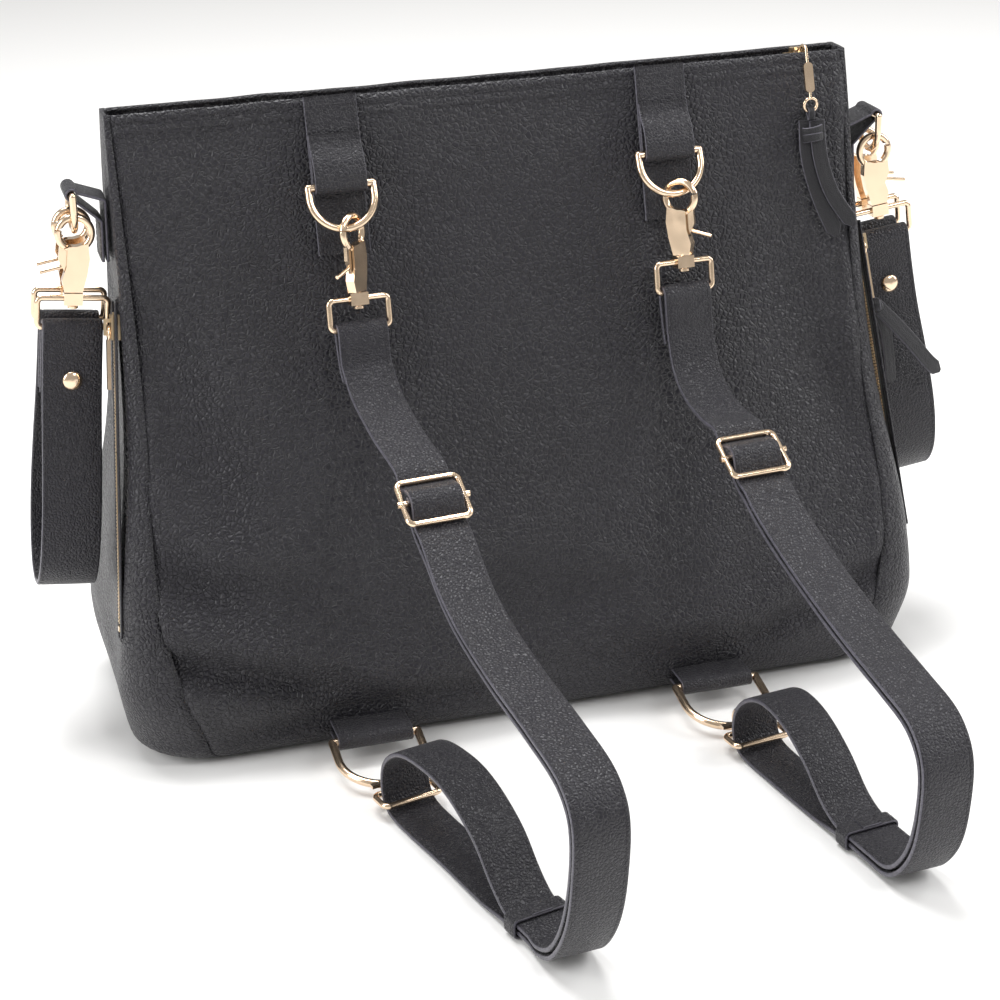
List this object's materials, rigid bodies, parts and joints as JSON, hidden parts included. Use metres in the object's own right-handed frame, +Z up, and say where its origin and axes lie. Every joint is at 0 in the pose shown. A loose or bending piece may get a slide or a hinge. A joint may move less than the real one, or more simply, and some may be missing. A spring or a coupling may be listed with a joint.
{
  "type": "diaper bag",
  "caption": "Wedge-shaped leather diaper bag with a top zip, side zips, two clip-on backpack straps and stroller straps hung from side rings.",
  "frame": {"origin": "centre of the base panel on the ground", "axes": "+X along the bag's length, +Z up, the back panel that carries the backpack straps faces -Y"},
  "size_m": [0.486, 0.4141, 0.3191],
  "materials": {
    "body_leather": "fine pebble grain, soft sheen",
    "strap_leather": "smooth fine grain, pale painted edges",
    "tab_leather": "fine grain, stitched",
    "base_leather": "fine pebble grain",
    "thong_leather": "smooth",
    "lining_fabric": "plain weave",
    "stiffener": "matt board",
    "zip_tape": "woven tape",
    "zip_teeth": "polished",
    "hardware": "polished pale gold"
  },
  "bodies": {
    "bag": {"back_panel": "body_leather", "front_panel": "body_leather", "left_gusset": "body_leather", "right_gusset": "body_leather", "base_panel": "base_leather", "base_board": "stiffener", "lining": "lining_fabric", "inner_pocket": "lining_fabric", "top_zip_tapes": "zip_tape", "top_zip_teeth": "zip_teeth", "left_zip_tapes": "zip_tape", "left_zip_teeth": "zip_teeth", "left_upper_tab": "tab_leather", "left_lower_tab": "tab_leather", "left_side_tab": "tab_leather", "right_zip_tapes": "zip_tape", "right_zip_teeth": "zip_teeth", "right_upper_tab": "tab_leather", "right_lower_tab": "tab_leather", "right_side_tab": "tab_leather"},
    "top slider": {"top_zip_slider": "hardware"},
    "top pull": {"top_zip_pull": "hardware"},
    "top tassel": {"top_zip_tassel": "thong_leather"},
    "left side slider": {"left_zip_slider": "hardware"},
    "left side pull": {"left_zip_pull": "hardware"},
    "left upper ring": {"left_upper_ring": "hardware"},
    "left strap": {"left_upper_hook": "hardware", "left_upper_swivel": "hardware", "left_strap_front": "strap_leather", "left_strap_back": "strap_leather", "left_tri_glide": "hardware", "left_strap_loop": "strap_leather", "left_keeper": "tab_leather"},
    "left hook gate": {"left_upper_gate": "hardware"},
    "left lower ring": {"left_lower_ring": "hardware"},
    "left lower clasp": {"left_lower_clasp": "hardware"},
    "left side ring": {"left_side_ring": "hardware"},
    "left stroller strap": {"left_stroller_strap": "strap_leather", "left_stroller_rivets": "hardware", "left_stroller_hook_near": "hardware", "left_stroller_hook_far": "hardware"},
    "right side slider": {"right_zip_slider": "hardware"},
    "right side pull": {"right_zip_pull": "hardware", "right_zip_thong": "thong_leather"},
    "right upper ring": {"right_upper_ring": "hardware"},
    "right strap": {"right_upper_hook": "hardware", "right_upper_swivel": "hardware", "right_strap_front": "strap_leather", "right_strap_back": "strap_leather", "right_tri_glide": "hardware", "right_strap_loop": "strap_leather", "right_keeper": "tab_leather"},
    "right hook gate": {"right_upper_gate": "hardware"},
    "right lower ring": {"right_lower_ring": "hardware"},
    "right lower clasp": {"right_lower_clasp": "hardware"},
    "right side ring": {"right_side_ring": "hardware"},
    "right stroller strap": {"right_stroller_strap": "strap_leather", "right_stroller_rivets": "hardware", "right_stroller_hook_near": "hardware", "right_stroller_hook_far": "hardware"}
  },
  "joints": [
    {"name": "top_zip_slide", "type": "slide", "parent": "bag", "child": "top slider", "axis": [-1, 0, 0], "range_m": [0, 0.05]},
    {"name": "top_pull_swing", "type": "hinge", "parent": "top slider", "child": "top pull", "pos_m": [0.165, 0, 0.31365], "axis": [0, -1, 0], "range_deg": [-20, 40]},
    {"name": "top_tassel_swing", "type": "hinge", "parent": "top pull", "child": "top tassel", "pos_m": [0.165, -0.01917, 0.287], "axis": [-1, 0, 0], "range_deg": [0, 60]},
    {"name": "left_side_zip_slide", "type": "slide", "parent": "bag", "child": "left side slider", "axis": [-0.0991, -0.2319, -0.9677], "range_m": [0, 0.136]},
    {"name": "left_side_pull_lift", "type": "hinge", "parent": "left side slider", "child": "left side pull", "pos_m": [-0.19586, -0.01925, 0.21553], "axis": [0, 0.9725, -0.233], "range_deg": [0, 75]},
    {"name": "left_upper_ring_swing", "type": "hinge", "parent": "bag", "child": "left upper ring", "pos_m": [-0.08, -0.02471, 0.275], "axis": [-1, 0, 0], "range_deg": [0, 30]},
    {"name": "left_strap_lift", "type": "hinge", "parent": "left upper ring", "child": "left strap", "pos_m": [-0.0775, -0.03416, 0.25646], "axis": [-1, 0, 0], "range_deg": [0, 30]},
    {"name": "left_hook_gate_open", "type": "hinge", "parent": "left strap", "child": "left hook gate", "pos_m": [-0.07721, -0.03793, 0.23347], "axis": [-0.6947, 0.7084, -0.1249], "range_deg": [0, 6], "stiffness_Nm_per_rad": 0.02, "springref_deg": -11.46},
    {"name": "left_lower_ring_lift", "type": "hinge", "parent": "bag", "child": "left lower ring", "pos_m": [-0.092, -0.094, 0.013], "axis": [-1, 0, 0], "range_deg": [0, 10]},
    {"name": "left_lower_clasp_lift", "type": "hinge", "parent": "left lower ring", "child": "left lower clasp", "pos_m": [-0.092, -0.12927, 0.0058], "axis": [-1, 0, 0], "range_deg": [0, 10]},
    {"name": "left_side_ring_swing", "type": "hinge", "parent": "bag", "child": "left side ring", "pos_m": [-0.206, 0, 0.279], "axis": [0, 1, 0], "range_deg": [0, 45]},
    {"name": "left_stroller_strap_swing", "type": "hinge", "parent": "left side ring", "child": "left stroller strap", "pos_m": [-0.206, 0, 0.26221], "axis": [0, 1, 0], "range_deg": [0, 45]},
    {"name": "right_side_zip_slide", "type": "slide", "parent": "bag", "child": "right side slider", "axis": [0.0991, -0.2319, -0.9677], "range_m": [0, 0.136]},
    {"name": "right_side_pull_lift", "type": "hinge", "parent": "right side slider", "child": "right side pull", "pos_m": [0.19586, -0.01925, 0.21553], "axis": [0, -0.9725, 0.233], "range_deg": [0, 40]},
    {"name": "right_upper_ring_swing", "type": "hinge", "parent": "bag", "child": "right upper ring", "pos_m": [0.087, -0.02471, 0.275], "axis": [-1, 0, 0], "range_deg": [0, 30]},
    {"name": "right_strap_lift", "type": "hinge", "parent": "right upper ring", "child": "right strap", "pos_m": [0.0895, -0.03416, 0.25646], "axis": [-1, 0, 0], "range_deg": [0, 30]},
    {"name": "right_hook_gate_open", "type": "hinge", "parent": "right strap", "child": "right hook gate", "pos_m": [0.08921, -0.03793, 0.23347], "axis": [-0.6947, -0.7084, 0.1249], "range_deg": [0, 6], "stiffness_Nm_per_rad": 0.02, "springref_deg": -11.46},
    {"name": "right_lower_ring_lift", "type": "hinge", "parent": "bag", "child": "right lower ring", "pos_m": [0.088, -0.094, 0.013], "axis": [-1, 0, 0], "range_deg": [0, 10]},
    {"name": "right_lower_clasp_lift", "type": "hinge", "parent": "right lower ring", "child": "right lower clasp", "pos_m": [0.088, -0.12927, 0.0058], "axis": [-1, 0, 0], "range_deg": [0, 10]},
    {"name": "right_side_ring_swing", "type": "hinge", "parent": "bag", "child": "right side ring", "pos_m": [0.206, 0, 0.279], "axis": [0, -1, 0], "range_deg": [0, 45]},
    {"name": "right_stroller_strap_swing", "type": "hinge", "parent": "right side ring", "child": "right stroller strap", "pos_m": [0.206, 0, 0.26221], "axis": [0, -1, 0], "range_deg": [0, 45]}
  ]
}
